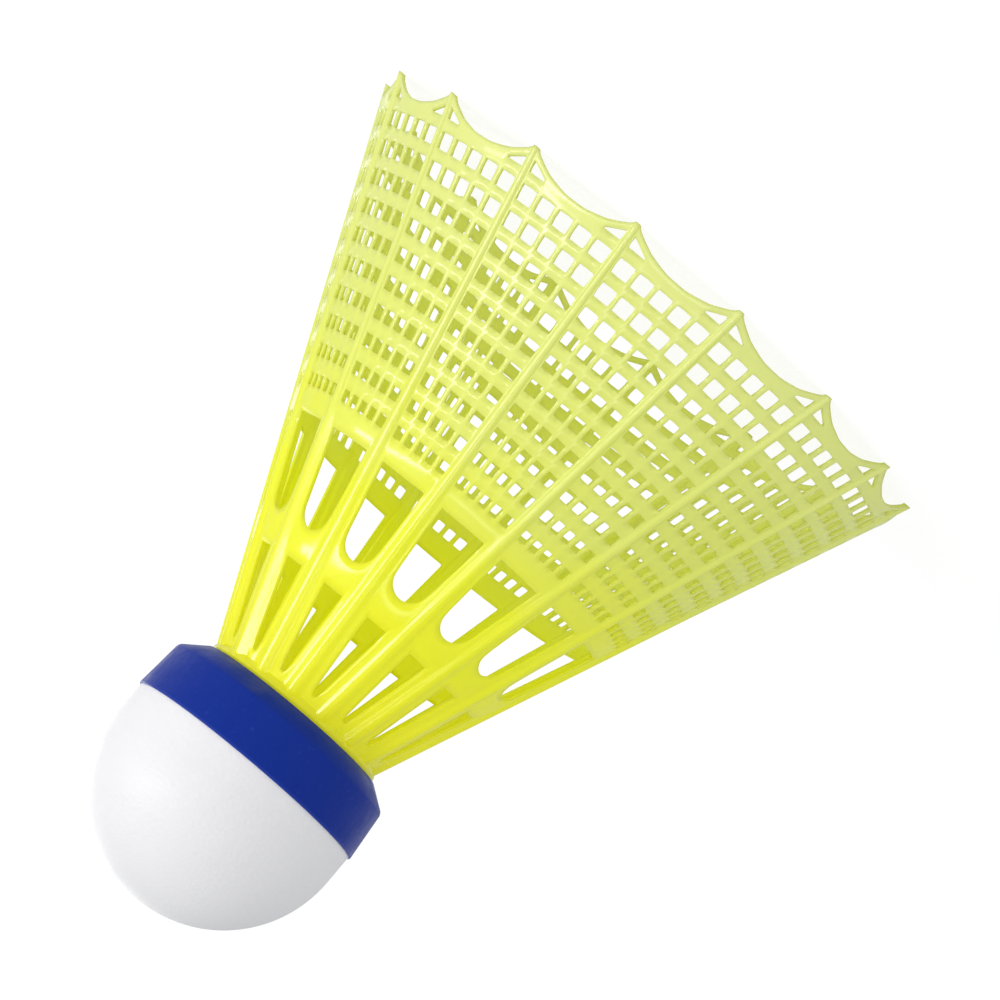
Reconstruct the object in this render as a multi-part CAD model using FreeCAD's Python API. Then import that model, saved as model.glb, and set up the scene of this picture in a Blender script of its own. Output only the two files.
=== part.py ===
"""Badminton shuttlecock with a moulded nylon skirt on a cork head, in millimetres.

The shuttlecock stands on its skirt, as on a table: the origin is the centre of the rim plane,
on which the tips of the stems rest, and +Z runs up the axis to the nose of the head.
Each function returns the solid of one node; main() writes one STEP file for each.
"""

import FreeCAD, Part
import math
import os
from FreeCAD import Vector

# Driving dimensions of the skirt
STEMS = 16                  # stems round the skirt, with one panel between each pair
SKIRT_HEIGHT = 54.0         # rim plane to the flange that sits on the head
WEB_RIM_RADIUS = 33.35      # outside of the panels at the rim plane
WEB_BASE_RADIUS = 9.65      # outside of the panels at the flange
WEB_THICKNESS = 0.4
STEM_WIDTH_RIM = 0.65
STEM_WIDTH_BASE = 1.7
STEM_PROUD_RIM = 0.35       # how far a stem stands out of the panels
STEM_PROUD_BASE = 0.55
STEM_DEEP_RIM = 0.1         # how far a stem stands in from the panels
STEM_DEEP_BASE = 0.9

# Openings in a panel, by height above the rim plane
MESH_COLUMNS = 5            # mesh windows side by side in one row of a panel
MESH_ROWS = 10
MESH_FIRST_ROW = 4.15       # middle of the row next to the rim
MESH_ROW_PITCH = 2.71
MESH_WINDOW_RIM = 1.6       # window height in the row next to the rim
MESH_WINDOW_DEEP = 1.15     # window height in the last row
MESH_THREAD = 0.5
WINDOW_MARGIN = 0.15        # web left beside a stem
TIP_WINDOW = (0.9, 2.2)     # part row of small windows beside each tip
TALL_WINDOW = (31.5, 40.5)
LONG_SLOT = (43.7, 52.6)
WINDOW_SIDE = 0.5           # web left beside a tall window
SLOT_SIDE = 0.85            # web left beside a long slot
ARCH_SHARE = 1 / 3          # most of an opening's height that its arch takes

# Scalloped rim
VALLEY_DEPTH = 2.0
TIP_SHOULDER = 0.25         # height at which the scallop meets a stem
RIM_STRIP = 0.75            # solid strip that follows the scallop
SMALLEST_WINDOW = 0.25      # square millimetres; smaller leftovers stay solid

# Head: dome, side and shoulder
HEAD_TOP = 78.0
SKIN_RADIUS = 13.25
SKIN_THICKNESS = 0.35
BAND_EDGE = 61.65           # height of the band's edge on the side of the head
SHOULDER = 56.35            # height where the side turns in over the shoulder
SIDE_TAPER = 0.5            # how much the side draws in from band edge to shoulder
HEAD_BASE = 55.0            # flat underside of the cork, where the flange rests
LIP_RADIUS = 10.3           # inner edge of the shoulder
BAND_THICKNESS = 0.27
BAND_LIP = 0.65             # band thickness over the shoulder
BAND_CORNER = (0.45, 0.54)  # how far the band's outer corner is rounded, inwards and down
CORNER_BULGE = 0.11         # how far the rounded corner stands out from its chord

# Hub of the skirt: flange and hollow spigot, glued into the cork
FLANGE_RADIUS = 10.2
SPIGOT_RADIUS = 6.5
SPIGOT_BORE = 5.5
SPIGOT_FLOOR = 0.9
SPIGOT_GROOVES = 3
GROOVE_WIDTH = 1.0
GROOVE_DEPTH = 0.25
GLUE = 0.15
CORK_SPLIT = 65.0           # joint between the cork body and the cork nose

HALF_SECTOR = math.pi / STEMS
AXIS = Vector(0, 0, 1)
ORIGIN = Vector(0, 0, 0)
TOP_OF_GLUE = CORK_SPLIT
TOP_OF_SPIGOT = CORK_SPLIT - GLUE
FAR = 45.0                  # further out than any part of the skirt
NEAR = 4.0                  # further in than any part of a panel
BLANK_SPREAD = 1.2          # a panel's blank is this much wider than a sector, and is then trimmed


def between(height, at_rim, at_base):
    """Value at a height, straight from the rim plane to the flange."""
    return at_rim + (at_base - at_rim) * height / SKIRT_HEIGHT


def web_radius(height):
    return between(height, WEB_RIM_RADIUS, WEB_BASE_RADIUS)


def stem_width(height):
    return between(height, STEM_WIDTH_RIM, STEM_WIDTH_BASE)


def panel_half_width(height):
    """Half the width of a panel between its two stems, across the panel's middle plane."""
    return web_radius(height) * math.sin(HALF_SECTOR) - stem_width(height) / 2 * math.cos(HALF_SECTOR)


def polygon(points):
    return Part.makePolygon(list(points) + [points[0]])


def revolved(points):
    """Solid of revolution about the axis from (radius, height) points."""
    return Part.Face(polygon([Vector(r, 0, z) for r, z in points])).revolve(ORIGIN, AXIS, 360)


def revolved_edges(edges):
    """Solid of revolution from edges that close a profile in the XZ plane."""
    return Part.Face(Part.Wire(edges)).revolve(ORIGIN, AXIS, 360)


def line(a, b):
    return Part.LineSegment(Vector(a[0], 0, a[1]), Vector(b[0], 0, b[1])).toShape()


def arc(a, middle, b):
    return Part.Arc(Vector(a[0], 0, a[1]), Vector(middle[0], 0, middle[1]), Vector(b[0], 0, b[1])).toShape()


# ---- head ----

def side_radius(height, inset):
    """Radius of the head's side, drawn in below the band's edge, at a depth under the skin's face."""
    below = max(0.0, BAND_EDGE - height) / (BAND_EDGE - SHOULDER)
    return SKIN_RADIUS - SIDE_TAPER * below - inset


def dome_edge(inset, start_height):
    """Arc of the nose from a height up to the axis, with its start and top points."""
    radius = SKIN_RADIUS - inset
    centre = HEAD_TOP - SKIN_RADIUS
    start = math.asin((start_height - centre) / radius)
    middle = (start + math.pi / 2) / 2
    first = (radius * math.cos(start), centre + radius * math.sin(start))
    halfway = (radius * math.cos(middle), centre + radius * math.sin(middle))
    top = (0.0, centre + radius)
    return arc(first, halfway, top), first, top


def cork_nose():
    """Solid natural cork above the joint, shaped to a dome."""
    dome, first, top = dome_edge(SKIN_THICKNESS, CORK_SPLIT)
    foot = (0.0, CORK_SPLIT)
    return revolved_edges([dome, line(top, foot), line(foot, first)])


def cork_body():
    """Agglomerated cork below the joint, bored right through for the spigot."""
    inset = SKIN_THICKNESS
    bore = SPIGOT_RADIUS + GLUE
    centre = HEAD_TOP - SKIN_RADIUS
    top = (math.sqrt((SKIN_RADIUS - inset) ** 2 - (CORK_SPLIT - centre) ** 2), CORK_SPLIT)
    waist = (side_radius(centre, inset), centre)
    edges = [
        line((bore, HEAD_BASE), (LIP_RADIUS, HEAD_BASE)),
        line((LIP_RADIUS, HEAD_BASE), (side_radius(SHOULDER, inset), SHOULDER)),
        line((side_radius(SHOULDER, inset), SHOULDER), (side_radius(BAND_EDGE, inset), BAND_EDGE)),
        line((side_radius(BAND_EDGE, inset), BAND_EDGE), waist),
        line(waist, top),
        line(top, (bore, CORK_SPLIT)),
        line((bore, CORK_SPLIT), (bore, HEAD_BASE)),
    ]
    return revolved_edges(edges)


def head_skin():
    """Thin white skin over the dome and down the side to the shoulder."""
    centre = HEAD_TOP - SKIN_RADIUS
    outer, outer_start, outer_top = dome_edge(0.0, centre)
    inner, inner_start, inner_top = dome_edge(SKIN_THICKNESS, centre)
    outer_side = [(side_radius(z, 0.0), z) for z in (centre, BAND_EDGE, SHOULDER)]
    inner_side = [(side_radius(z, SKIN_THICKNESS), z) for z in (SHOULDER, BAND_EDGE, centre)]
    walls = outer_side + inner_side
    sides = [line(a, b) for a, b in zip(walls, walls[1:])]
    return revolved_edges([outer] + sides + [inner, line(inner_top, outer_top)])


def speed_band():
    """Coloured band round the side, turned in over the shoulder to the skirt."""
    edge_outer = (side_radius(BAND_EDGE, -BAND_THICKNESS), BAND_EDGE)
    edge_inner = (side_radius(BAND_EDGE, 0.0), BAND_EDGE)
    side_foot = (side_radius(SHOULDER, -BAND_THICKNESS), SHOULDER)
    inwards, down = BAND_CORNER
    chord = math.hypot(inwards, down)
    corner_end = (side_foot[0] - inwards, SHOULDER - down)
    corner_mid = (
        side_foot[0] - inwards / 2 + CORNER_BULGE * down / chord,
        SHOULDER - down / 2 - CORNER_BULGE * inwards / chord,
    )
    lip_outer = (LIP_RADIUS, HEAD_BASE - BAND_LIP)
    lip_inner = (LIP_RADIUS, HEAD_BASE)
    cork_corner = (side_radius(SHOULDER, SKIN_THICKNESS), SHOULDER)
    skin_corner = (side_radius(SHOULDER, 0.0), SHOULDER)
    return revolved_edges([
        line(edge_inner, edge_outer),
        line(edge_outer, side_foot),
        arc(side_foot, corner_mid, corner_end),
        line(corner_end, lip_outer),
        line(lip_outer, lip_inner),
        line(lip_inner, cork_corner),
        line(cork_corner, skin_corner),
        line(skin_corner, edge_inner),
    ])


# ---- hub and glue ----

def spigot_side():
    """(radius, height) points up the grooved outside of the spigot."""
    points = [(SPIGOT_RADIUS, HEAD_BASE)]
    pitch = (TOP_OF_SPIGOT - HEAD_BASE) / (SPIGOT_GROOVES + 1)
    for groove in range(SPIGOT_GROOVES):
        middle = HEAD_BASE + pitch * (groove + 1)
        floor = SPIGOT_RADIUS - GROOVE_DEPTH
        points += [
            (SPIGOT_RADIUS, middle - GROOVE_WIDTH / 2),
            (floor, middle - GROOVE_WIDTH / 4),
            (floor, middle + GROOVE_WIDTH / 4),
            (SPIGOT_RADIUS, middle + GROOVE_WIDTH / 2),
        ]
    return points + [(SPIGOT_RADIUS, TOP_OF_SPIGOT)]


def skirt_hub():
    """Flange that rests on the cork, with the hollow spigot that is glued into it."""
    floor = TOP_OF_SPIGOT - SPIGOT_FLOOR
    return revolved(
        [(SPIGOT_BORE, SKIRT_HEIGHT), (FLANGE_RADIUS, SKIRT_HEIGHT), (FLANGE_RADIUS, HEAD_BASE)]
        + spigot_side()
        + [(0.0, TOP_OF_SPIGOT), (0.0, floor), (SPIGOT_BORE, floor)]
    )


def spigot_glue():
    """Glue between the spigot and the bore, keyed into the spigot's grooves."""
    return revolved(
        spigot_side()
        + [(0.0, TOP_OF_SPIGOT), (0.0, TOP_OF_GLUE), (SPIGOT_RADIUS + GLUE, TOP_OF_GLUE),
           (SPIGOT_RADIUS + GLUE, HEAD_BASE)]
    )


# ---- skirt ----

def stem_section(height):
    """Stem outline at a height: flat flanks for the panels, with a round outside."""
    half = stem_width(height) / 2
    radius = web_radius(height)
    inner = radius - WEB_THICKNESS - between(height, STEM_DEEP_RIM, STEM_DEEP_BASE)
    crown = radius + between(height, STEM_PROUD_RIM, STEM_PROUD_BASE)
    flank = crown - half
    corners = [
        Vector(inner, -half, height),
        Vector(flank, -half, height),
        Vector(flank, half, height),
        Vector(inner, half, height),
    ]
    return Part.Wire([
        Part.makeLine(corners[0], corners[1]),
        Part.Arc(corners[1], Vector(crown, 0, height), corners[2]).toShape(),
        Part.makeLine(corners[2], corners[3]),
        Part.makeLine(corners[3], corners[0]),
    ])


def stem():
    """Stem along +X, tapering from the flange to its flat tip on the rim plane."""
    return Part.makeLoft([stem_section(0.0), stem_section(SKIRT_HEIGHT)], True, True)


def panel_wedge():
    """Space between the facing flanks of two stems, with the panel's middle plane along +X."""
    outlines = []
    for height in (0.0, SKIRT_HEIGHT):
        half = stem_width(height) / 2
        corners = []
        for side, distances in ((-1, (NEAR, FAR)), (1, (FAR, NEAR))):
            turn = side * HALF_SECTOR
            for distance in distances:
                x = distance * math.cos(turn) + side * half * math.sin(turn)
                y = distance * math.sin(turn) - side * half * math.cos(turn)
                corners.append(Vector(x, y, height))
        outlines.append(polygon(corners))
    return Part.makeLoft(outlines, True, True)


def panel_blank():
    """Conical wall between two stems, before its openings are cut."""
    profile = polygon([
        Vector(web_radius(0.0), 0, 0.0),
        Vector(web_radius(SKIRT_HEIGHT), 0, SKIRT_HEIGHT),
        Vector(web_radius(SKIRT_HEIGHT) - WEB_THICKNESS, 0, SKIRT_HEIGHT),
        Vector(web_radius(0.0) - WEB_THICKNESS, 0, 0.0),
    ])
    face = Part.Face(profile)
    half_spread = math.degrees(HALF_SECTOR) * BLANK_SPREAD
    face.rotate(ORIGIN, AXIS, -half_spread)
    wall = face.revolve(ORIGIN, AXIS, 2 * half_spread)
    return wall.common(panel_wedge())


def upright_face(points):
    """Flat face in the YZ plane from (across, height) points."""
    return Part.Face(polygon([Vector(0, y, z) for y, z in points]))


def scallop_disc(extra):
    """Disc whose edge is the scallop between two tips, grown by extra."""
    half = panel_half_width(0.0)
    rise = VALLEY_DEPTH - TIP_SHOULDER
    radius = (half ** 2 + rise ** 2) / (2 * rise)
    centre = Vector(0, 0, VALLEY_DEPTH - radius)
    return Part.Face(Part.Wire(Part.makeCircle(radius + extra, centre, Vector(1, 0, 0))))


def row_windows(low, high):
    """Faces of the mesh windows in one row between two heights."""
    faces = []
    for column in range(MESH_COLUMNS):
        outline = []
        for height, order in ((low, 1), (high, -1)):
            half = panel_half_width(height)
            pitch = 2 * half / MESH_COLUMNS
            left = -half + pitch * column + (WINDOW_MARGIN if column == 0 else MESH_THREAD / 2)
            last = column == MESH_COLUMNS - 1
            right = -half + pitch * (column + 1) - (WINDOW_MARGIN if last else MESH_THREAD / 2)
            outline += [(left, height), (right, height)][::order]
        faces.append(upright_face(outline))
    return faces


def mesh_windows():
    """All mesh windows of a panel, kept clear of the strip along the scallop."""
    faces = row_windows(*TIP_WINDOW)
    for row in range(MESH_ROWS):
        middle = MESH_FIRST_ROW + MESH_ROW_PITCH * row
        share = row / (MESH_ROWS - 1)
        tall = MESH_WINDOW_RIM + (MESH_WINDOW_DEEP - MESH_WINDOW_RIM) * share
        faces += row_windows(middle - tall / 2, middle + tall / 2)
    strip = scallop_disc(RIM_STRIP)
    kept = []
    for face in faces:
        kept += [piece for piece in face.cut(strip).Faces if piece.Area > SMALLEST_WINDOW]
    return kept


def arched_opening(low, high, side):
    """Opening that leaves a strip of web beside each stem, with an arch towards the head."""
    foot = panel_half_width(low) - side
    spring = panel_half_width(high) - side
    arch = min(spring, (high - low) * ARCH_SHARE)
    shoulder = high - arch
    edges = [
        Part.makeLine(Vector(0, -foot, low), Vector(0, foot, low)),
        Part.makeLine(Vector(0, foot, low), Vector(0, spring, shoulder)),
        Part.Arc(Vector(0, spring, shoulder), Vector(0, 0, high), Vector(0, -spring, shoulder)).toShape(),
        Part.makeLine(Vector(0, -spring, shoulder), Vector(0, -foot, low)),
    ]
    return Part.Face(Part.Wire(edges))


def panel():
    """Panel with its middle plane along +X: mesh, tall window, long slot and scalloped rim."""
    openings = mesh_windows() + [
        arched_opening(*TALL_WINDOW, WINDOW_SIDE),
        arched_opening(*LONG_SLOT, SLOT_SIDE),
        scallop_disc(0.0),
    ]
    cutters = [face.extrude(Vector(FAR, 0, 0)) for face in openings]
    return panel_blank().cut(Part.makeCompound(cutters))


def turned(shape, steps):
    """Copy of a shape, turned about the axis by that many sectors."""
    copy = shape.copy()
    copy.rotate(ORIGIN, AXIS, math.degrees(2 * HALF_SECTOR) * steps)
    return copy


def main():
    os.makedirs("parts", exist_ok=True)
    nodes = {
        "cork_nose": cork_nose(),
        "cork_body": cork_body(),
        "head_skin": head_skin(),
        "speed_band": speed_band(),
        "spigot_glue": spigot_glue(),
        "skirt_hub": skirt_hub(),
    }
    one_stem = stem()
    one_panel = panel()
    for number in range(STEMS):
        nodes[f"skirt_stem_{number + 1:02d}"] = turned(one_stem, number)
        nodes[f"skirt_panel_{number + 1:02d}"] = turned(one_panel, number + 0.5)
    for name, shape in nodes.items():
        solids = shape.Solids
        shown = solids[0] if len(solids) == 1 else Part.makeCompound(solids)
        shown.exportStep(f"parts/{name}.step")
        print(f"{name}: {len(solids)} solid, valid {shown.isValid()}, {shown.Volume:.1f} mm3")


main()
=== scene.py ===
import math

import bmesh
import bpy
from mathutils import Matrix, Vector

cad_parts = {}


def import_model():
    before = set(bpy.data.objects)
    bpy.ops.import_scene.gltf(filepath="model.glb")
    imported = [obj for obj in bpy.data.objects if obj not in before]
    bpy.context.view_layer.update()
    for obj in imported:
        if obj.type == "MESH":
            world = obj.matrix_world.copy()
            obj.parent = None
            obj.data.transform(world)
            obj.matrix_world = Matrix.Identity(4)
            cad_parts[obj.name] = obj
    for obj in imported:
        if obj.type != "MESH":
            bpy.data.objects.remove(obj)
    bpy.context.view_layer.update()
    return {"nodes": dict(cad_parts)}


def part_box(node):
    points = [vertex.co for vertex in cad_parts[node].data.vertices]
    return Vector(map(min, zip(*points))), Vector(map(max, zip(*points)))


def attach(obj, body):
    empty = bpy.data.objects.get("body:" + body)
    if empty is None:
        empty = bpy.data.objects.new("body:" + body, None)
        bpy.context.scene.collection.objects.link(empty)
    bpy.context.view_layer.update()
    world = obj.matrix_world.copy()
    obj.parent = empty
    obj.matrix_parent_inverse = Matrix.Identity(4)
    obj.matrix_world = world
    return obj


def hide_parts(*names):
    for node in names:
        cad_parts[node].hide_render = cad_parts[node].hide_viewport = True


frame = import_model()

# Sizes below are in millimetres. The large ones come from the frame's boxes.
MM = 0.001


def node_box(node):
    """A CAD node's lowest and highest corners in millimetres."""
    low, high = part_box(node)
    return low / MM, high / MM


stem_low, stem_high = node_box("skirt_stem_01")
hub_low, hub_high = node_box("skirt_hub")
band_low, band_high = node_box("speed_band")
skin_low, skin_high = node_box("head_skin")

STEMS = sum(name.startswith("skirt_stem_") for name in frame["nodes"])
SECTOR = 2 * math.pi / STEMS
SKIRT_TOP = stem_high.z
PROUD_RIM = 0.35            # how far a stem stands out of the web
PROUD_BASE = 0.55
WEB_THICKNESS = 0.4
DEEP_RIM = 0.1              # how far a stem stands in from the web
DEEP_BASE = 0.9
STEM_WIDTH_RIM = 0.65
STEM_WIDTH_BASE = stem_high.y - stem_low.y
STEM_SHARES = (-1.0, -0.68, 0.0, 0.68, 1.0)   # columns over a stem, as shares of its half width
WEB_RIM = stem_high.x - PROUD_RIM
WEB_BASE = stem_low.x + WEB_THICKNESS + DEEP_BASE

# Openings of one panel, by height
MESH_COLUMNS = 5
MESH_ROWS = 10
MESH_FIRST_ROW = 4.15
MESH_PITCH = 2.71
WINDOW_RIM = 1.6
WINDOW_DEEP = 1.15
THREAD = 0.5
WINDOW_MARGIN = 0.15
TIP_WINDOW_TOP = 2.2
STRIP_SHARE = 0.4           # most of the way from the scallop to the first mesh row the strip may take
LEDGE_SHARE = 0.72          # the same way, up to the row over the tip windows
TALL_WINDOW = (31.5, 40.5, 0.5)    # foot, top of the arch, and web left beside each stem
LONG_SLOT = (43.7, 52.6, 0.85)
LOW_SHARE = 0.4             # where an opening has its middle row, as a share of its height
VALLEY = 2.0                # depth of the scallop between two tips
TIP_SHOULDER = 0.25
RIM_STRIP = 0.75
RING_SWELL = 0.14           # how much the two solid rings stand out
RIM_BEAD = 0.05             # how much the strip along the rim is thicker
FLANGE_SINK = 0.3           # how far the lattice runs up inside the flange
SHARP_EDGE = math.radians(57)
EDGE_FIRMNESS = 0.55        # 0 rounds the lattice's sharp edges fully and 1 leaves them sharp

# Head
SKIN_RADIUS = skin_high.x
NOSE = skin_high.z
DOME_CENTRE = NOSE - SKIN_RADIUS
BAND_EDGE = band_high.z
SKIN_FOOT = skin_low.z
SIDE_TAPER = 0.5            # how much the side draws in from the band's edge to the shoulder
SKIN_THICKNESS = 0.35
BAND_THICKNESS = band_high.x - SKIN_RADIUS
BAND_LIP = 0.65             # thickness of the band over the shoulder
LIP_RADIUS = 10.3
CORK_FOOT = band_low.z + BAND_LIP
SPIGOT_BORE = 5.5
SPIGOT_RADIUS = 6.5
SPIGOT_FLOOR = 0.9
COLLAR_DEPTH = 0.9          # how far the flange's collar reaches down over the lattice
LATHE_STEPS = 144
SEAM_ANGLE = math.radians(-58)
SEAM_STEP = 0.05            # how much the band's overlapping end stands up
SEAM_FALL = math.radians(14)

# The photograph's view of the shuttlecock
VIEW_AZIMUTH = math.radians(13.9)
VIEW_ELEVATION = math.radians(6.2)
VIEW_ROLL = math.radians(139.8)
VIEW_DISTANCE = 1005.0
VIEW_AIM = 35.4             # height on the axis from which the distance is taken
FRAME_FILL = 0.86           # share of the frame that the shuttlecock takes
SENSOR = 36.0
OUTLINE_STEPS = 48


# ---- mesh helpers ----

def mesh_object(name, vertices, faces):
    """Smooth-shaded object from millimetre vertices, riding on the root body."""
    mesh = bpy.data.meshes.new(name)
    mesh.from_pydata([Vector(v) * MM for v in vertices], [], faces)
    mesh.validate()
    mesh.shade_smooth()
    piece = bpy.data.objects.new(name, mesh)
    bpy.context.scene.collection.objects.link(piece)
    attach(piece, "root")
    return piece


def between(height, at_rim, at_base):
    """Value at a height, straight from the rim plane to the top of the skirt."""
    return at_rim + (at_base - at_rim) * height / SKIRT_TOP


def web_radius(height):
    """Radius of the web's outer face."""
    return between(height, WEB_RIM, WEB_BASE)


def stem_half(height):
    """Half the width of a stem."""
    return between(height, STEM_WIDTH_RIM, STEM_WIDTH_BASE) / 2


# ---- skirt ----

def panel_half(height):
    """Half the width of a panel, as an arc between its two stems."""
    radius = web_radius(height)
    return radius * (SECTOR / 2 - math.asin(stem_half(height) / radius))


def scallop(share):
    """Height of the rim's edge, where share runs from -1 to 1 across a panel."""
    half = panel_half(0.0)
    rise = VALLEY - TIP_SHOULDER
    radius = (half ** 2 + rise ** 2) / (2 * rise)
    return VALLEY - radius + math.sqrt(radius ** 2 - (half * share) ** 2)


def thread_shares(height):
    """Edges of the mesh windows across a panel, as shares from -1 to 1."""
    half = panel_half(height)
    pitch = 2.0 / MESH_COLUMNS
    shares = []
    for column in range(MESH_COLUMNS):
        left = WINDOW_MARGIN if column == 0 else THREAD / 2
        right = WINDOW_MARGIN if column == MESH_COLUMNS - 1 else THREAD / 2
        shares.append(-1.0 + pitch * column + left / half)
        shares.append(-1.0 + pitch * (column + 1) - right / half)
    return shares


def arch_shares(height, side):
    """The same columns, spread evenly round the arch of a wide opening."""
    reach = 1.0 - side / panel_half(height)
    last = 2 * MESH_COLUMNS - 1
    return [reach * math.sin(math.pi * (i / last - 0.5)) for i in range(last + 1)]


def mixed(a, b, share):
    """Values a share of the way from those of a to those of b."""
    return [x + (y - x) * share for x, y in zip(a, b)]


def flat_row(height, spread, side=TALL_WINDOW[2], swell=0.0):
    """Row at one height; spread 0 has the mesh's columns and 1 those of an opening."""
    shares = mixed(thread_shares(height), arch_shares(height, side), spread)
    return {"heights": [height] * len(shares), "shares": shares, "stem": height, "swell": swell}


def rim_row():
    """Edge of the skirt, scalloped between the tips."""
    shares = thread_shares(0.0)
    return {"heights": [scallop(s) for s in shares], "shares": shares, "stem": 0.0, "swell": RIM_BEAD}


def strip_row(first_window):
    """Inner edge of the strip along the scallop, which is also the foot of the tip windows."""
    shares = thread_shares(RIM_STRIP)
    heights = []
    for share in shares:
        edge = scallop(share)
        heights.append(min(edge + RIM_STRIP, edge + (first_window - edge) * STRIP_SHARE))
    return {"heights": heights, "shares": shares, "stem": RIM_STRIP, "swell": RIM_BEAD}


def tip_row(first_window):
    """Top of the tip windows, which rises over the valley to stay clear of the strip."""
    shares = thread_shares(TIP_WINDOW_TOP)
    heights = []
    for index, share in enumerate(shares):
        beside_tip = index < 2 or index >= len(shares) - 2
        edge = scallop(share)
        heights.append(TIP_WINDOW_TOP if beside_tip else edge + (first_window - edge) * LEDGE_SHARE)
    return {"heights": heights, "shares": shares, "stem": TIP_WINDOW_TOP, "swell": 0.0}


def arch_row(low, high, side):
    """Row that follows the arch at the top of an opening from low to high."""
    reach = panel_half(high) - side
    arch = min(reach, (high - low) / 3)
    spring = high - arch
    shares = arch_shares(high, side)
    last = len(shares) - 1
    heights = [spring + arch * math.sin(math.pi * i / last) for i in range(last + 1)]
    return {"heights": heights, "shares": shares, "stem": spring, "swell": 0.0}


def opening_rows(low, high, side):
    """Rows of a wide opening with an arch, which takes up all of a panel's cells."""
    whole = tuple(range(2 * MESH_COLUMNS - 1))
    return [
        (flat_row(low, 1.0, side), whole),
        (flat_row(low + (high - low) * LOW_SHARE, 1.0, side), whole),
        (arch_row(low, high, side), ()),
    ]


def skirt_rows():
    """Rows from the rim to the head, and for each gap above a row the panel cells that are open."""
    tips = (0, 2 * MESH_COLUMNS - 2)
    windows = tuple(range(0, 2 * MESH_COLUMNS, 2))
    first_window = MESH_FIRST_ROW - WINDOW_RIM / 2
    rows = [(rim_row(), ()), (strip_row(first_window), tips), (tip_row(first_window), ())]
    for number in range(MESH_ROWS):
        middle = MESH_FIRST_ROW + MESH_PITCH * number
        tall = WINDOW_RIM + (WINDOW_DEEP - WINDOW_RIM) * number / (MESH_ROWS - 1)
        rows.append((flat_row(middle - tall / 2, 0.0), windows))
        rows.append((flat_row(middle + tall / 2, 0.0), ()))
    last_window = rows[-1][0]["stem"]
    rows.append((flat_row((last_window + TALL_WINDOW[0]) / 2, 0.5, swell=RING_SWELL), ()))
    rows += opening_rows(*TALL_WINDOW)
    ring = (TALL_WINDOW[1] + LONG_SLOT[0]) / 2
    rows.append((flat_row(ring, 1.0, TALL_WINDOW[2], RING_SWELL), ()))
    rows += opening_rows(*LONG_SLOT)
    rows.append((flat_row((LONG_SLOT[1] + SKIRT_TOP) / 2, 1.0, LONG_SLOT[2]), ()))
    rows.append((flat_row(SKIRT_TOP + FLANGE_SINK, 1.0, LONG_SLOT[2]), ()))
    return rows


def stem_points(row, angle):
    """(angle, outer radius, inner radius, height) of the columns over a stem."""
    height = row["stem"]
    half = stem_half(height)
    radius = web_radius(height)
    proud = between(height, PROUD_RIM, PROUD_BASE)
    deep = between(height, DEEP_RIM, DEEP_BASE)
    points = []
    for share in STEM_SHARES:
        crown = radius + proud - half + half * math.sqrt(1.0 - share * share)
        outer = max(radius + row["swell"], crown)
        inside = radius - WEB_THICKNESS - (deep if abs(share) < 1.0 else 0.0)
        points.append((angle + math.asin(share * half / radius), outer, inside, height))
    return points


def panel_points(row, angle):
    """(angle, outer radius, inner radius, height) of the columns across a panel."""
    points = []
    for share, height in zip(row["shares"], row["heights"]):
        radius = web_radius(height)
        turn = share * panel_half(height) / radius
        points.append((angle + turn, radius + row["swell"], radius - WEB_THICKNESS, height))
    return points


def skirt_cage():
    """Vertices and quads of the whole lattice: outside, inside and the walls between them."""
    rows = skirt_rows()
    grid = []
    for row, _ in rows:
        ring = []
        for number in range(STEMS):
            ring += stem_points(row, number * SECTOR)
            ring += panel_points(row, (number + 0.5) * SECTOR)
        grid.append(ring)
    columns = len(grid[0])
    per_sector = columns // STEMS
    first_cell = len(STEM_SHARES)
    solid = []
    for index in range(len(rows) - 1):
        open_cells = {first_cell + cell for cell in rows[index][1]}
        solid.append([column % per_sector not in open_cells for column in range(columns)])
    vertices = []
    numbers = {}

    def vertex(row, column, inside):
        """Number of the vertex at a grid point, made the first time it is asked for."""
        column %= columns
        key = (row, column, inside)
        if key not in numbers:
            angle, outer, inner, height = grid[row][column]
            radius = inner if inside else outer
            numbers[key] = len(vertices)
            vertices.append((radius * math.cos(angle), radius * math.sin(angle), height))
        return numbers[key]

    faces = []

    def wall(row_a, column_a, row_b, column_b):
        """Face through the web's thickness along one edge of the grid."""
        faces.append((
            vertex(row_a, column_a, False),
            vertex(row_b, column_b, False),
            vertex(row_b, column_b, True),
            vertex(row_a, column_a, True),
        ))

    for row, cells in enumerate(solid):
        for column, filled in enumerate(cells):
            if not filled:
                continue
            corners = ((row, column), (row, column + 1), (row + 1, column + 1), (row + 1, column))
            faces.append(tuple(vertex(r, c, False) for r, c in corners))
            faces.append(tuple(vertex(r, c, True) for r, c in reversed(corners)))
            if row == 0 or not solid[row - 1][column]:
                wall(row, column + 1, row, column)
            if row == len(solid) - 1 or not solid[row + 1][column]:
                wall(row + 1, column, row + 1, column + 1)
            if not cells[(column - 1) % columns]:
                wall(row, column, row + 1, column)
            if not cells[(column + 1) % columns]:
                wall(row + 1, column + 1, row, column + 1)
    return vertices, faces


def firm_edges(mesh):
    """Hold the sharp edges part of the way against the rounding, so that windows stay square."""
    work = bmesh.new()
    work.from_mesh(mesh)
    crease = work.edges.layers.float.new("crease_edge")
    for edge in work.edges:
        if edge.calc_face_angle() > SHARP_EDGE:
            edge[crease] = EDGE_FIRMNESS
    work.to_mesh(mesh)
    work.free()


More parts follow.
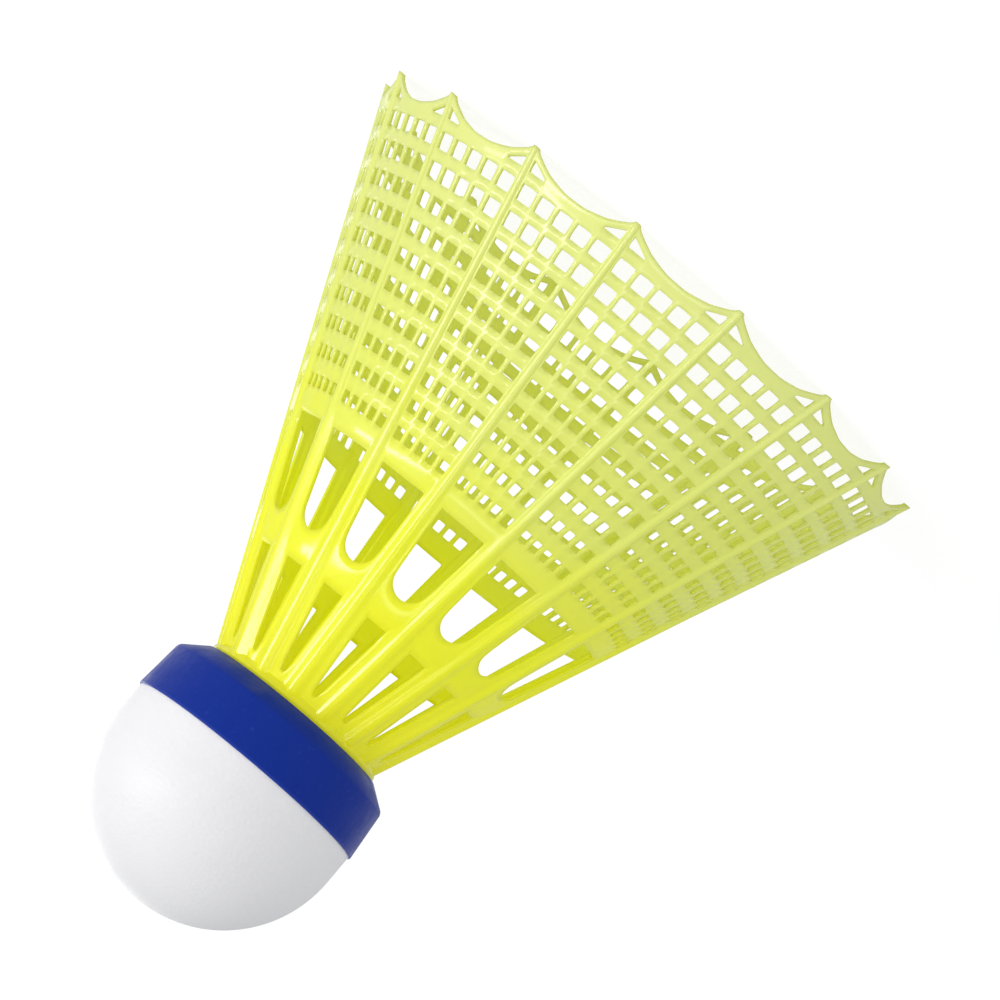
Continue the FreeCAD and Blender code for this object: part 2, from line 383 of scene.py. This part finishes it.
def settle(piece):
    """Apply the piece's rounding and bring its tips back down to the rim plane."""
    graph = bpy.context.evaluated_depsgraph_get()
    mesh = bpy.data.meshes.new_from_object(piece.evaluated_get(graph))
    piece.modifiers.clear()
    piece.data = mesh
    lift = min(vertex.co.z for vertex in mesh.vertices)
    for vertex in mesh.vertices:
        vertex.co.z -= lift * (1.0 - vertex.co.z / (SKIRT_TOP * MM))


def skirt_lattice():
    """Stems and panels as the single moulding that they are."""
    vertices, faces = skirt_cage()
    piece = mesh_object("skirt_lattice", vertices, faces)
    firm_edges(piece.data)
    smooth = piece.modifiers.new("rounding", "SUBSURF")
    smooth.levels = 1
    settle(piece)
    for number in range(1, STEMS + 1):
        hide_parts(f"skirt_stem_{number:02d}", f"skirt_panel_{number:02d}")
    return piece


# ---- turned parts ----

def rounded(points, steps=5):
    """Profile points from (radius, height, fillet) corners, each corner rounded by its fillet."""
    profile = []
    count = len(points)
    for index, (x, z, fillet) in enumerate(points):
        corner = Vector((x, z))
        if fillet == 0.0:
            profile.append((x, z))
            continue
        to_last = (Vector(points[index - 1][:2]) - corner).normalized()
        to_next = (Vector(points[(index + 1) % count][:2]) - corner).normalized()
        half = to_last.angle(to_next) / 2
        reach = fillet / math.tan(half)
        centre = corner + (to_last + to_next).normalized() * (fillet / math.sin(half))
        start = corner + to_last * reach - centre
        end = corner + to_next * reach - centre
        for step in range(steps + 1):
            share = step / steps
            spoke = start.lerp(end, share).normalized() * fillet
            profile.append(tuple(centre + spoke))
    return profile


def turned(name, profile, closed=True, swell=None):
    """Solid of revolution from (radius, height) points; swell(angle, radius, height) adds to the radius."""
    vertices = []
    rings = []
    for radius, height in profile:
        if radius < 1e-6:
            rings.append([len(vertices)] * LATHE_STEPS)
            vertices.append((0.0, 0.0, height))
            continue
        rings.append(list(range(len(vertices), len(vertices) + LATHE_STEPS)))
        for step in range(LATHE_STEPS):
            angle = 2 * math.pi * step / LATHE_STEPS
            here = radius + (swell(angle, radius, height) if swell else 0.0)
            vertices.append((here * math.cos(angle), here * math.sin(angle), height))
    faces = []
    pairs = list(zip(rings, rings[1:] + rings[:1])) if closed else list(zip(rings, rings[1:]))
    for low, high in pairs:
        for step in range(LATHE_STEPS):
            ahead = (step + 1) % LATHE_STEPS
            quad = [low[step], low[ahead], high[ahead], high[step]]
            face = list(dict.fromkeys(quad))
            if len(face) > 2:
                faces.append(face)
    return mesh_object(name, vertices, faces)


def side_radius(height, inset):
    """Radius of the head's side at a depth under the skin's face."""
    below = max(0.0, BAND_EDGE - height) / (BAND_EDGE - SKIN_FOOT)
    return SKIN_RADIUS - SIDE_TAPER * below - inset


def dome_points(inset, steps=40):
    """Points of the dome from its foot up to the axis."""
    radius = SKIN_RADIUS - inset
    points = []
    for step in range(steps + 1):
        angle = math.pi / 2 * step / steps
        across = radius * math.cos(angle) if step < steps else 0.0
        points.append((across, DOME_CENTRE + radius * math.sin(angle)))
    return points


def head_skin():
    """Thin shell over the dome and down the side to the shoulder."""
    outside = [(side_radius(z, 0.0), z) for z in (SKIN_FOOT, BAND_EDGE - 1.0, BAND_EDGE, BAND_EDGE + 1.5)]
    inside = [(side_radius(z, SKIN_THICKNESS), z) for z in (BAND_EDGE, SKIN_FOOT)]
    profile = dome_points(SKIN_THICKNESS)[::-1] + inside + outside + dome_points(0.0)
    piece = turned("head_skin_shell", profile, closed=False)
    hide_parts("head_skin")
    return piece


def seam(angle, radius, height):
    """Overlap of the band's two ends: a small step up, and a slow fall back."""
    past = (angle - SEAM_ANGLE) % (2 * math.pi)
    if radius < LIP_RADIUS + 1.0 or radius < side_radius(height, -0.1):
        return 0.0
    return -SEAM_STEP + SEAM_STEP * max(0.0, 1.0 - past / SEAM_FALL)


def speed_band():
    """Band round the side, rounded at its edge and turned in over the shoulder."""
    foot = side_radius(SKIN_FOOT, -BAND_THICKNESS)
    corners = [
        (side_radius(BAND_EDGE, 0.0), BAND_EDGE, 0.0),
        (side_radius(BAND_EDGE, -BAND_THICKNESS), BAND_EDGE, 0.14),
        (side_radius((BAND_EDGE + SKIN_FOOT) / 2, -BAND_THICKNESS), (BAND_EDGE + SKIN_FOOT) / 2, 0.0),
        (foot, SKIN_FOOT, 0.55),
        (LIP_RADIUS, band_low.z, 0.2),
        (LIP_RADIUS, CORK_FOOT, 0.0),
        (side_radius(SKIN_FOOT, SKIN_THICKNESS), SKIN_FOOT, 0.0),
        (side_radius(SKIN_FOOT, 0.0), SKIN_FOOT, 0.0),
    ]
    piece = turned("speed_band_sleeve", rounded(corners)[::-1], swell=seam)
    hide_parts("speed_band")
    return piece


def skirt_hub():
    """Flange with the hollow spigot, filleted down on to the collar of the lattice."""
    top_of_bore = hub_high.z - SPIGOT_FLOOR
    foot = SKIRT_TOP - COLLAR_DEPTH
    corners = [
        (0.0, top_of_bore, 0.0),
        (SPIGOT_BORE, top_of_bore, 0.5),
        (SPIGOT_BORE, SKIRT_TOP, 0.3),
        (WEB_BASE - 0.9, SKIRT_TOP, 0.5),
        (WEB_BASE - 0.35, foot, 0.1),
        (WEB_BASE + 0.05, foot, 0.1),
        (hub_high.x, SKIRT_TOP + 0.1, 0.12),
        (hub_high.x, CORK_FOOT, 0.0),
        (SPIGOT_RADIUS, CORK_FOOT, 0.2),
        (SPIGOT_RADIUS, hub_high.z, 0.3),
        (0.0, hub_high.z, 0.0),
    ]
    piece = turned("skirt_hub_moulding", rounded(corners), closed=False)
    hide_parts("skirt_hub")
    return piece


# ---- materials ----

def new_material(name):
    material = bpy.data.materials.new(name)
    material.use_nodes = True
    tree = material.node_tree
    return material, tree, tree.nodes["Principled BSDF"]


def feed(tree, node, **values):
    """Set a node's properties and inputs by name; a value that is a socket is linked."""
    for key, value in values.items():
        if hasattr(node, key):
            setattr(node, key, value)
            continue
        numbered = key.startswith("in") and key[2:].isdigit()
        socket = node.inputs[int(key[2:])] if numbered else node.inputs[key.replace("_", " ")]
        if isinstance(value, bpy.types.NodeSocket):
            tree.links.new(value, socket)
        else:
            socket.default_value = value


def add(tree, kind, **values):
    """New node with its properties and inputs set."""
    node = tree.nodes.new(kind)
    feed(tree, node, **values)
    return node


def place(tree):
    """Position on the object, in metres."""
    return tree.nodes.new("ShaderNodeTexCoord").outputs["Object"]


def noise(tree, scale, detail=3.0):
    """Soft noise over the object; the scale counts blotches in a metre."""
    node = add(tree, "ShaderNodeTexNoise", Vector=place(tree), Scale=scale, Detail=detail)
    return node.outputs["Fac"]


def remap(tree, value, low, high, to_low, to_high):
    """Value carried from one range to another."""
    node = add(tree, "ShaderNodeMapRange", in0=value, in1=low, in2=high, in3=to_low, in4=to_high)
    return node.outputs["Result"]


def combine(tree, operation, first, second):
    """Two values added, multiplied or otherwise combined."""
    node = add(tree, "ShaderNodeMath", operation=operation, in0=first, in1=second)
    return node.outputs["Value"]


def ramp(tree, value, stops):
    """Colour that runs through (position, colour) stops."""
    node = add(tree, "ShaderNodeValToRGB", Fac=value)
    while len(node.color_ramp.elements) < len(stops):
        node.color_ramp.elements.new(0.5)
    for element, (position, colour) in zip(node.color_ramp.elements, stops):
        element.position = position
        element.color = (*colour, 1.0)
    return node.outputs["Color"]


def height_up(tree):
    """Height above the rim plane, in metres."""
    return add(tree, "ShaderNodeSeparateXYZ", Vector=place(tree)).outputs["Z"]


def bump(tree, height, distance):
    """Normal of a surface with fine relief."""
    return add(tree, "ShaderNodeBump", Height=height, Distance=distance).outputs["Normal"]


def mix_shaders(tree, share, first, second):
    """Shader that is the first at a share of 0 and the second at 1."""
    mix = add(tree, "ShaderNodeMixShader", Fac=share, in1=first, in2=second)
    return mix.outputs["Shader"]


def give_surface(tree, surface):
    feed(tree, tree.nodes["Material Output"], Surface=surface)


def nylon_material():
    """Fluorescent nylon with a painted glow, partly its fluorescence and partly painted light on its shaded
    inside: deeper yellow near the head, greener and paler towards the rim.
    """
    material, tree, shader = new_material("fluorescent_nylon")
    up = remap(tree, height_up(tree), 0.0, SKIRT_TOP * MM, 0.0, 1.0)
    cloud = remap(tree, noise(tree, 90.0), 0.3, 0.7, -0.06, 0.06)
    level = combine(tree, "ADD", up, cloud)
    colour = ramp(tree, level, [
        (0.0, (0.80, 0.84, 0.38)),
        (0.42, (0.80, 0.84, 0.22)),
        (0.64, (0.87, 0.89, 0.02)),
        (1.0, (0.91, 0.89, 0.0)),
    ])
    feed(tree, shader, Base_Color=colour)
    feed(tree, shader, Roughness=remap(tree, noise(tree, 900.0), 0.3, 0.7, 0.42, 0.56))
    feed(tree, shader, Normal=bump(tree, noise(tree, 2200.0, 2.0), 0.00004))
    # Painted glow: the emission stands partly for the nylon's fluorescence and partly for light on its
    # shaded inner walls, and it brightens the whole skirt.
    feed(tree, shader, Emission_Color=(0.80, 0.83, 0.0, 1.0), Emission_Strength=0.16)
    feed(tree, shader, Specular_IOR_Level=0.65, Specular_Tint=(1.0, 1.0, 0.6, 1.0))
    feed(tree, shader, Coat_Weight=0.7, Coat_Roughness=0.12)
    through = add(tree, "ShaderNodeBsdfTranslucent", Color=colour).outputs["BSDF"]
    give_surface(tree, mix_shaders(tree, 0.35, shader.outputs["BSDF"], through))
    return material


def skin_material():
    """White coated skin with a very fine grain."""
    material, tree, shader = new_material("white_skin")
    colour = ramp(tree, noise(tree, 60.0), [(0.3, (0.79, 0.778, 0.79)), (0.7, (0.815, 0.805, 0.815))])
    grain = add(tree, "ShaderNodeTexVoronoi", Vector=place(tree), Scale=2400.0).outputs["Distance"]
    feed(tree, shader, Base_Color=colour, Specular_IOR_Level=0.25)
    feed(tree, shader, Roughness=remap(tree, noise(tree, 300.0), 0.3, 0.7, 0.36, 0.5))
    feed(tree, shader, Normal=bump(tree, grain, 0.00003))
    return material


def band_material():
    """Blue vinyl with a faint nap, fine scuffs and paler worn edges."""
    material, tree, shader = new_material("blue_band")
    worn_edge = remap(tree, height_up(tree), (BAND_EDGE - 0.35) * MM, BAND_EDGE * MM, 0.0, 0.35)
    scuffs = remap(tree, noise(tree, 1700.0), 0.62, 0.8, 0.0, 0.25)
    wear = combine(tree, "ADD", worn_edge, scuffs)
    colour = ramp(tree, wear, [(0.0, (0.0, 0.021, 0.25)), (1.0, (0.05, 0.09, 0.42))])
    feed(tree, shader, Base_Color=colour, Specular_IOR_Level=0.15)
    feed(tree, shader, Roughness=remap(tree, noise(tree, 500.0), 0.3, 0.7, 0.28, 0.46))
    feed(tree, shader, Normal=bump(tree, noise(tree, 1500.0), 0.00004))
    return material


def cork_material(name, cells, light, dark):
    """Cork with grains; the number of cells is for one metre."""
    material, tree, shader = new_material(name)
    grain = add(tree, "ShaderNodeTexVoronoi", Vector=place(tree), Scale=cells)
    fine = noise(tree, cells * 3.0, 6.0)
    level = combine(tree, "MULTIPLY", grain.outputs["Distance"], fine)
    colour = ramp(tree, level, [(0.0, dark), (0.45, light)])
    feed(tree, shader, Base_Color=colour, Roughness=remap(tree, fine, 0.3, 0.7, 0.75, 0.95))
    feed(tree, shader, Normal=bump(tree, level, 0.0002))
    return material


def glue_material():
    """Amber glue, set hard."""
    material, tree, shader = new_material("set_glue")
    colour = ramp(tree, noise(tree, 250.0), [(0.3, (0.78, 0.70, 0.48)), (0.7, (0.88, 0.82, 0.64))])
    feed(tree, shader, Base_Color=colour)
    feed(tree, shader, Roughness=remap(tree, noise(tree, 400.0), 0.3, 0.7, 0.12, 0.3))
    return material


def paint(piece, material):
    piece.data.materials.clear()
    piece.data.materials.append(material)


# ---- stage ----

def white_to_camera(tree, seen, lit, amount):
    """Shader that shows the camera a cleaner white than it lights the object with."""
    ray = tree.nodes.new("ShaderNodeLightPath").outputs["Is Camera Ray"]
    return mix_shaders(tree, combine(tree, "MULTIPLY", ray, amount), lit, seen)


def floor():
    """Pale floor that is seen from above only, and greyer where the shuttlecock stands."""
    size = 3000.0
    mesh = bpy.data.meshes.new("floor")
    corners = [(-size, -size), (size, -size), (size, size), (-size, size)]
    mesh.from_pydata([Vector((x, y, -0.02)) * MM for x, y in corners], [], [(0, 1, 2, 3)])
    piece = bpy.data.objects.new("floor", mesh)
    bpy.context.scene.collection.objects.link(piece)
    material, tree, shader = new_material("pale_floor")
    tree.nodes.remove(shader)
    diffuse = add(tree, "ShaderNodeBsdfDiffuse", Color=(0.92, 0.92, 0.93, 1.0)).outputs["BSDF"]
    glow = add(tree, "ShaderNodeEmission", Color=(1.0, 1.0, 1.0, 1.0), Strength=1.05).outputs["Emission"]
    away = add(tree, "ShaderNodeVectorMath", operation="LENGTH", in0=place(tree)).outputs["Value"]
    surface = white_to_camera(tree, glow, diffuse, remap(tree, away, 0.03, 0.16, 0.84, 1.0))
    clear = add(tree, "ShaderNodeBsdfTransparent").outputs["BSDF"]
    under = tree.nodes.new("ShaderNodeNewGeometry").outputs["Backfacing"]
    give_surface(tree, mix_shaders(tree, under, surface, clear))
    paint(piece, material)


def world(strength):
    """Even pale surroundings, shown to the camera as white."""
    surroundings = bpy.data.worlds.new("studio")
    bpy.context.scene.world = surroundings
    surroundings.use_nodes = True
    tree = surroundings.node_tree
    lit = tree.nodes["Background"]
    feed(tree, lit, Color=(0.96, 0.98, 1.0, 1.0), Strength=strength)
    seen = add(tree, "ShaderNodeBackground", Color=(1.0, 1.0, 1.0, 1.0), Strength=1.05).outputs["Background"]
    shown = white_to_camera(tree, seen, lit.outputs["Background"], 1.0)
    feed(tree, tree.nodes["World Output"], Surface=shown)


def view_axes():
    """Directions of the camera's back, right and up, before its roll."""
    across = math.cos(VIEW_ELEVATION)
    back = Vector((
        math.sin(VIEW_AZIMUTH) * across,
        -math.cos(VIEW_AZIMUTH) * across,
        math.sin(VIEW_ELEVATION),
    ))
    right = Vector((math.cos(VIEW_AZIMUTH), math.sin(VIEW_AZIMUTH), 0.0))
    return back, right, right.cross(-back)


def softbox(name, direction, distance, size, energy, target):
    """Area light, of a width and a height, that faces a point on the axis."""
    light = bpy.data.lights.new(name, "AREA")
    light.shape = "RECTANGLE"
    light.size, light.size_y = size
    light.energy = energy
    lamp = bpy.data.objects.new(name, light)
    bpy.context.scene.collection.objects.link(lamp)
    lamp.location = target + direction.normalized() * distance
    lamp.rotation_euler = direction.to_track_quat("Z", "Y").to_euler()


def lights():
    """Two long strips for the streaks down the stems, a soft fill and a light from behind."""
    back, right, up = view_axes()
    middle = Vector((0.0, 0.0, VIEW_AIM * MM))
    softbox("key", right * 0.77 + back * 0.52 + up * 0.55, 0.9, (0.9, 0.055), 4.0, middle)
    softbox("front", right * -0.1 + back * 0.9 + up * 0.55, 0.9, (0.5, 0.055), 0.5, middle)
    softbox("fill", right * -0.8 + back * 0.7 + up * 0.2, 1.0, (0.8, 0.8), 0.4, middle)
    softbox("rim", right * 0.2 - back * 0.9 + up * 0.3, 1.0, (0.6, 0.6), 1.6, middle)


def outline_points():
    """Points round the rim, the band and the dome, for framing."""
    points = []
    for step in range(OUTLINE_STEPS):
        angle = 2 * math.pi * step / OUTLINE_STEPS
        for radius, height in ((stem_high.x, 0.0), (band_high.x, BAND_EDGE), (SKIN_RADIUS, DOME_CENTRE)):
            points.append(Vector((radius * math.cos(angle), radius * math.sin(angle), height)))
        for tilt in (0.2, 0.4, 0.6, 0.8):
            rise = tilt * math.pi / 2
            radius = SKIN_RADIUS * math.cos(rise)
            height = DOME_CENTRE + SKIN_RADIUS * math.sin(rise)
            points.append(Vector((radius * math.cos(angle), radius * math.sin(angle), height)))
    return points


def camera():
    """Camera at the photograph's angle, roll and distance, framed closely round the shuttlecock."""
    back, right, up = view_axes()
    rolled_right = right * math.cos(VIEW_ROLL) - up * math.sin(VIEW_ROLL)
    rolled_up = right * math.sin(VIEW_ROLL) + up * math.cos(VIEW_ROLL)
    eye = Vector((0.0, 0.0, VIEW_AIM)) + back * VIEW_DISTANCE
    spans = []
    for axis in (rolled_right, rolled_up):
        reach = [(p - eye).dot(axis) / (eye - p).dot(back) for p in outline_points()]
        spans.append((min(reach), max(reach)))
    (left, far_right), (low, high) = spans
    aim = (rolled_right * (left + far_right) / 2 + rolled_up * (low + high) / 2 - back).normalized()
    side = rolled_right - aim * rolled_right.dot(aim)
    side.normalize()
    top = side.cross(aim)
    data = bpy.data.cameras.new("camera")
    data.sensor_width = SENSOR
    data.lens = SENSOR * FRAME_FILL / max(far_right - left, high - low)
    data.clip_start = 0.05
    data.clip_end = 20.0
    piece = bpy.data.objects.new("camera", data)
    bpy.context.scene.collection.objects.link(piece)
    turn = Matrix((side, top, -aim)).transposed()
    piece.matrix_world = Matrix.Translation(eye * MM) @ turn.to_4x4()
    bpy.context.scene.camera = piece


def build():
    """Everything in the scene."""
    nylon = nylon_material()
    paint(skirt_lattice(), nylon)
    paint(skirt_hub(), nylon)
    paint(head_skin(), skin_material())
    paint(speed_band(), band_material())
    inner = {
        "cork_nose": cork_material("natural_cork", 260.0, (0.62, 0.42, 0.22), (0.30, 0.17, 0.08)),
        "cork_body": cork_material("pressed_cork", 420.0, (0.50, 0.31, 0.15), (0.20, 0.11, 0.05)),
        "spigot_glue": glue_material(),
    }
    for node, material in inner.items():
        paint(frame["nodes"][node], material)
    floor()
    world(0.64)
    lights()
    camera()
    bpy.context.scene.view_settings.view_transform = "Standard"


build()
